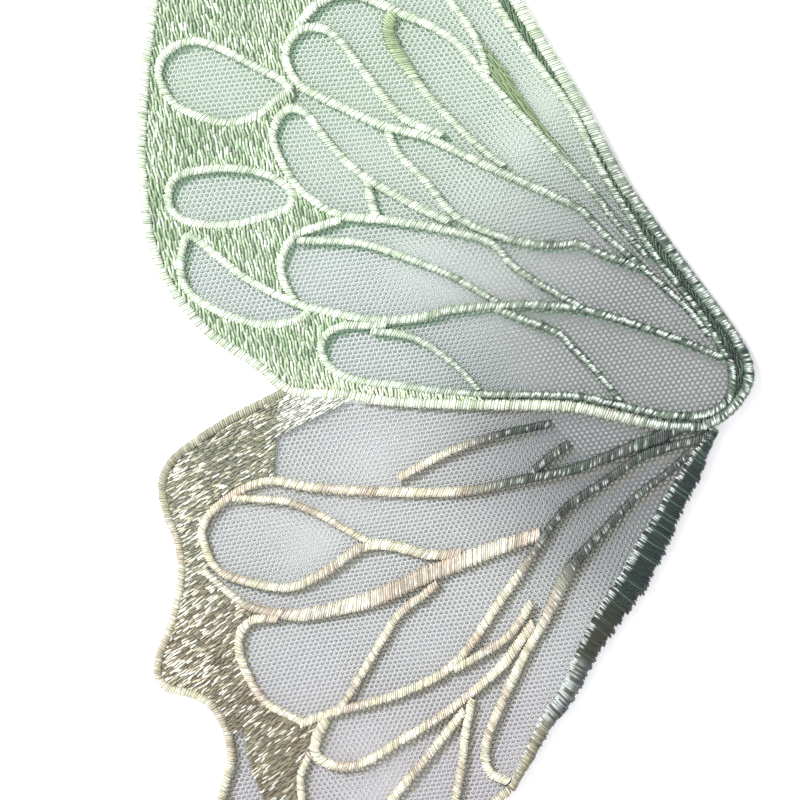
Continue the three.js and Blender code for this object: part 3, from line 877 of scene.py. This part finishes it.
def draw(places, slip):
    """Lays net at a slant and pulls it out of true. A layer that slips lies on the other one at
    the root and, further out, drifts until its threads cross the other's holes."""
    x = places[:, 0] * 1.04
    y = places[:, 1] * 0.96
    pull_x = x + 0.9 * np.sin(x / 27 + y / 41) + 0.4 * np.sin(y / 13)
    pull_y = y + 0.8 * np.cos(x / 33 - y / 29) + 0.4 * np.cos(x / 15)
    out = slip * ease(np.hypot(x, y), 16, 70)
    pull_x = pull_x + out * (0.5 + 0.25 * np.sin(x / 11 + y / 17))
    pull_y = pull_y + out * (0.3 + 0.25 * np.cos(x / 19 - y / 9))
    turn = NET_SLANT + 0.012 * out
    c, s = np.cos(turn), np.sin(turn)
    return np.column_stack((pull_x * c - pull_y * s, pull_x * s + pull_y * c))


def up_to_the_border(places, outline):
    """The hindwing's net runs on up to the forewing's border."""
    raised = outline.copy()
    at_fold = (above_fold(raised) > -FOLD_MARGIN) & (raised[..., 0] > BORDER_LEFT)
    raised[at_fold] += NET_RISE * FOLD_RISE
    return inside(places, raised) & ~inside(places, front_face("forewing_net_back")[2])


# ----------------------------------------------------------------------------------------------
# Materials


def thread_material(name, roughness, sheen, coat, grain, grain_depth):
    """Thread in the mesh's own colours, with a fine grain in its shade, gloss and surface."""
    material = bpy.data.materials.new(name)
    material.use_nodes = True
    nodes = material.node_tree.nodes
    links = material.node_tree.links
    shader = nodes["Principled BSDF"]
    tint = nodes.new("ShaderNodeVertexColor")
    tint.layer_name = "tint"
    place = nodes.new("ShaderNodeTexCoord")
    fibre = nodes.new("ShaderNodeTexNoise")
    fibre.inputs["Scale"].default_value = grain
    fibre.inputs["Detail"].default_value = 4
    links.new(place.outputs["Object"], fibre.inputs["Vector"])
    shade = nodes.new("ShaderNodeMapRange")
    shade.inputs["To Min"].default_value = 0.8
    shade.inputs["To Max"].default_value = 1.14
    links.new(fibre.outputs["Fac"], shade.inputs["Value"])
    blend = nodes.new("ShaderNodeVectorMath")
    blend.operation = "SCALE"
    links.new(tint.outputs["Color"], blend.inputs[0])
    links.new(shade.outputs["Result"], blend.inputs["Scale"])
    links.new(blend.outputs["Vector"], shader.inputs["Base Color"])
    rough = nodes.new("ShaderNodeMapRange")
    rough.inputs["To Min"].default_value = roughness - 0.08
    rough.inputs["To Max"].default_value = roughness + 0.1
    links.new(fibre.outputs["Fac"], rough.inputs["Value"])
    links.new(rough.outputs["Result"], shader.inputs["Roughness"])
    bump = nodes.new("ShaderNodeBump")
    bump.inputs["Strength"].default_value = grain_depth
    bump.inputs["Distance"].default_value = 0.00005
    links.new(fibre.outputs["Fac"], bump.inputs["Height"])
    links.new(bump.outputs["Normal"], shader.inputs["Normal"])
    shader.inputs["Sheen Weight"].default_value = sheen
    shader.inputs["Sheen Roughness"].default_value = 0.4
    shader.inputs["Coat Weight"].default_value = coat
    shader.inputs["Coat Roughness"].default_value = 0.3
    shader.inputs["IOR"].default_value = 1.5
    return material


satin = thread_material("satin_thread", 0.4, 0.12, 0.14, 9000, 0.5)
dark_satin = thread_material("dark_satin_thread", 0.45, 0.04, 0.06, 9000, 0.5)
tatami = thread_material("fill_thread", 0.45, 0.2, 0.15, 9000, 0.5)
tulle = thread_material("tulle_strand", 0.6, 0.1, 0.0, 5000, 0.3)


# ----------------------------------------------------------------------------------------------
# The wings

CORDS = [
    name for name in sorted(frame["nodes"])
    if "_net_" not in name and not name.endswith("_fill")
]
# The cells where the cords' shadow is painted on the net.
cord_shadow_cells = cells_beside(CORDS)

net("forewing_net_back", fore_net_paint, inside, slip=0)
net("forewing_net_front", fore_net_paint, inside, slip=1)
net("hindwing_net_back", hind_net_paint, up_to_the_border, slip=0)
net("hindwing_net_front", hind_net_paint, up_to_the_border, slip=1)

# Each ground colour is painted shade, seen between the fill's stitches.
fill(
    "forewing_margin_fill", margin_paint, ground=rgb(116, 142, 108),
    stitch=1.9, heading=-78,
)
fill(
    "forewing_leading_fill", strip_paint, ground=rgb(60, 90, 64),
    stitch=3.0, heading=-80, pitch=0.5,
)
fill(
    "forewing_root_fill", strip_paint, ground=rgb(30, 50, 42),
    stitch=2.4, heading=-80, pitch=0.5,
)
fill(
    "forewing_blade_fill", blade_paint, ground=rgb(110, 138, 98),
    stitch=5.0, heading=-50, pitch=0.4,
)
fill(
    "hindwing_margin_fill", olive_paint, ground=rgb(84, 84, 70),
    stitch=1.4, heading=36, pitch=0.4, fan=-0.003, shift=(3.4, 2.2),
)

SLOTS = {"forewing": "satin_mint", "hindwing": "satin_cream"}
PAINTS = {"forewing": fore_satin, "hindwing": hind_satin}
SPECIAL_PAINTS = {
    "forewing_edge_cord": fore_border,
    "forewing_vein_fork": plain_green,
    "hindwing_edge_cord": hind_border,
    "hindwing_vein_4": blush_vein,
}
CORD_WORK = {"pitch": SATIN_PITCH, "ragged": 0.2, "slant": 0.6, "flare": (1, 1)}
EDGE_WORK = {"pitch": SATIN_PITCH, "ragged": 0.2, "slant": 0.3, "flare": (1, 1)}
BAND_WORK = {"pitch": BAND_PITCH, "ragged": 0.34, "slant": 0.3, "flare": (0.5, 1.34)}
for name in CORDS:
    if name == "hindwing_trailing_band":
        wind(name, "satin_teal", band_satin, dark_satin, **BAND_WORK)
        continue
    wing = name.split("_")[0]
    paint = SPECIAL_PAINTS.get(name, PAINTS[wing])
    wind(name, SLOTS[wing], paint, satin, **(EDGE_WORK if "edge" in name else CORD_WORK))

# ----------------------------------------------------------------------------------------------
# Stage, light and camera

low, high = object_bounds()


def paper(name, colour, roughness):
    """A plain matt material."""
    material = bpy.data.materials.new(name)
    material.use_nodes = True
    shader = material.node_tree.nodes["Principled BSDF"]
    shader.inputs["Base Color"].default_value = (*colour, 1)
    shader.inputs["Roughness"].default_value = roughness
    shader.inputs["Specular IOR Level"].default_value = 0.1
    return material


def make_one_sided(material):
    """Seen from behind, a panel of this material isn't there."""
    nodes = material.node_tree.nodes
    links = material.node_tree.links
    facing = nodes.new("ShaderNodeNewGeometry")
    clear = nodes.new("ShaderNodeBsdfTransparent")
    choice = nodes.new("ShaderNodeMixShader")
    links.new(facing.outputs["Backfacing"], choice.inputs[0])
    links.new(nodes["Principled BSDF"].outputs["BSDF"], choice.inputs[1])
    links.new(clear.outputs["BSDF"], choice.inputs[2])
    links.new(choice.outputs["Shader"], nodes["Material Output"].inputs["Surface"])


def panel(name, corners, material):
    """A flat four-cornered piece of the stage."""
    mesh = bpy.data.meshes.new(name)
    mesh.from_pydata(corners, [], [(0, 1, 2, 3)])
    mesh.materials.append(material)
    piece = bpy.data.objects.new(name, mesh)
    bpy.context.scene.collection.objects.link(piece)
    return piece


def area_light(name, place, size, power, colour):
    """A square light that shines at the middle of the picture."""
    data = bpy.data.lights.new(name, "AREA")
    data.size = size
    data.energy = power
    data.color = colour
    light = bpy.data.objects.new(name, data)
    light.location = place
    target = Vector((VIEW_CENTRE[0], 0, VIEW_CENTRE[1]))
    light.rotation_euler = (target - Vector(place)).to_track_quat("-Z", "Y").to_euler()
    bpy.context.scene.collection.objects.link(light)


floor_z = low.z - FLOOR_GAP
around = ((-1, -1), (1, -1), (1, 1), (-1, 1))
floor_corners = [(FLOOR_REACH * x, FLOOR_REACH * y, floor_z) for x, y in around]
panel("floor", floor_corners, paper("floor_paper", (0.9, 0.9, 0.9), 0.8))

# The card just behind the wings glows a little, so that it shows white through the net.
card_paper = paper("backdrop_paper", (0.84, 0.84, 0.86), 0.9)
card_shader = card_paper.node_tree.nodes["Principled BSDF"]
card_shader.inputs["Emission Color"].default_value = (1, 1, 1, 1)
card_shader.inputs["Emission Strength"].default_value = 0.17
make_one_sided(card_paper)
card_y = high.y + CARD_GAP
card_corners = [
    (-CARD_REACH, card_y, floor_z),
    (CARD_REACH, card_y, floor_z),
    (CARD_REACH, card_y, CARD_REACH),
    (-CARD_REACH, card_y, CARD_REACH),
]
card = panel("backdrop", card_corners, card_paper)
card.visible_shadow = False

world = bpy.data.worlds.new("studio")
world.use_nodes = True
world.node_tree.nodes["Background"].inputs["Color"].default_value = (0.96, 0.95, 1, 1)
world.node_tree.nodes["Background"].inputs["Strength"].default_value = 0.62
bpy.context.scene.world = world

area_light("key", (-0.95, -0.85, 0.85), size=0.5, power=31, colour=(1, 1, 0.98))
area_light("back_fill", (0.6, 1.2, 0.6), size=0.8, power=14, colour=(1, 1, 1))

camera_data = bpy.data.cameras.new("camera")
camera_data.type = "PERSP"
camera_data.sensor_width = 36
camera_data.lens = camera_data.sensor_width * CAMERA_DISTANCE / VIEW_WIDTH
camera = bpy.data.objects.new("camera", camera_data)
camera.location = (VIEW_CENTRE[0], low.y - CAMERA_DISTANCE, VIEW_CENTRE[1])
camera.rotation_euler = (math.radians(90), 0, 0)
bpy.context.scene.collection.objects.link(camera)
bpy.context.scene.camera = camera
bpy.context.scene.view_settings.view_transform = "Standard"
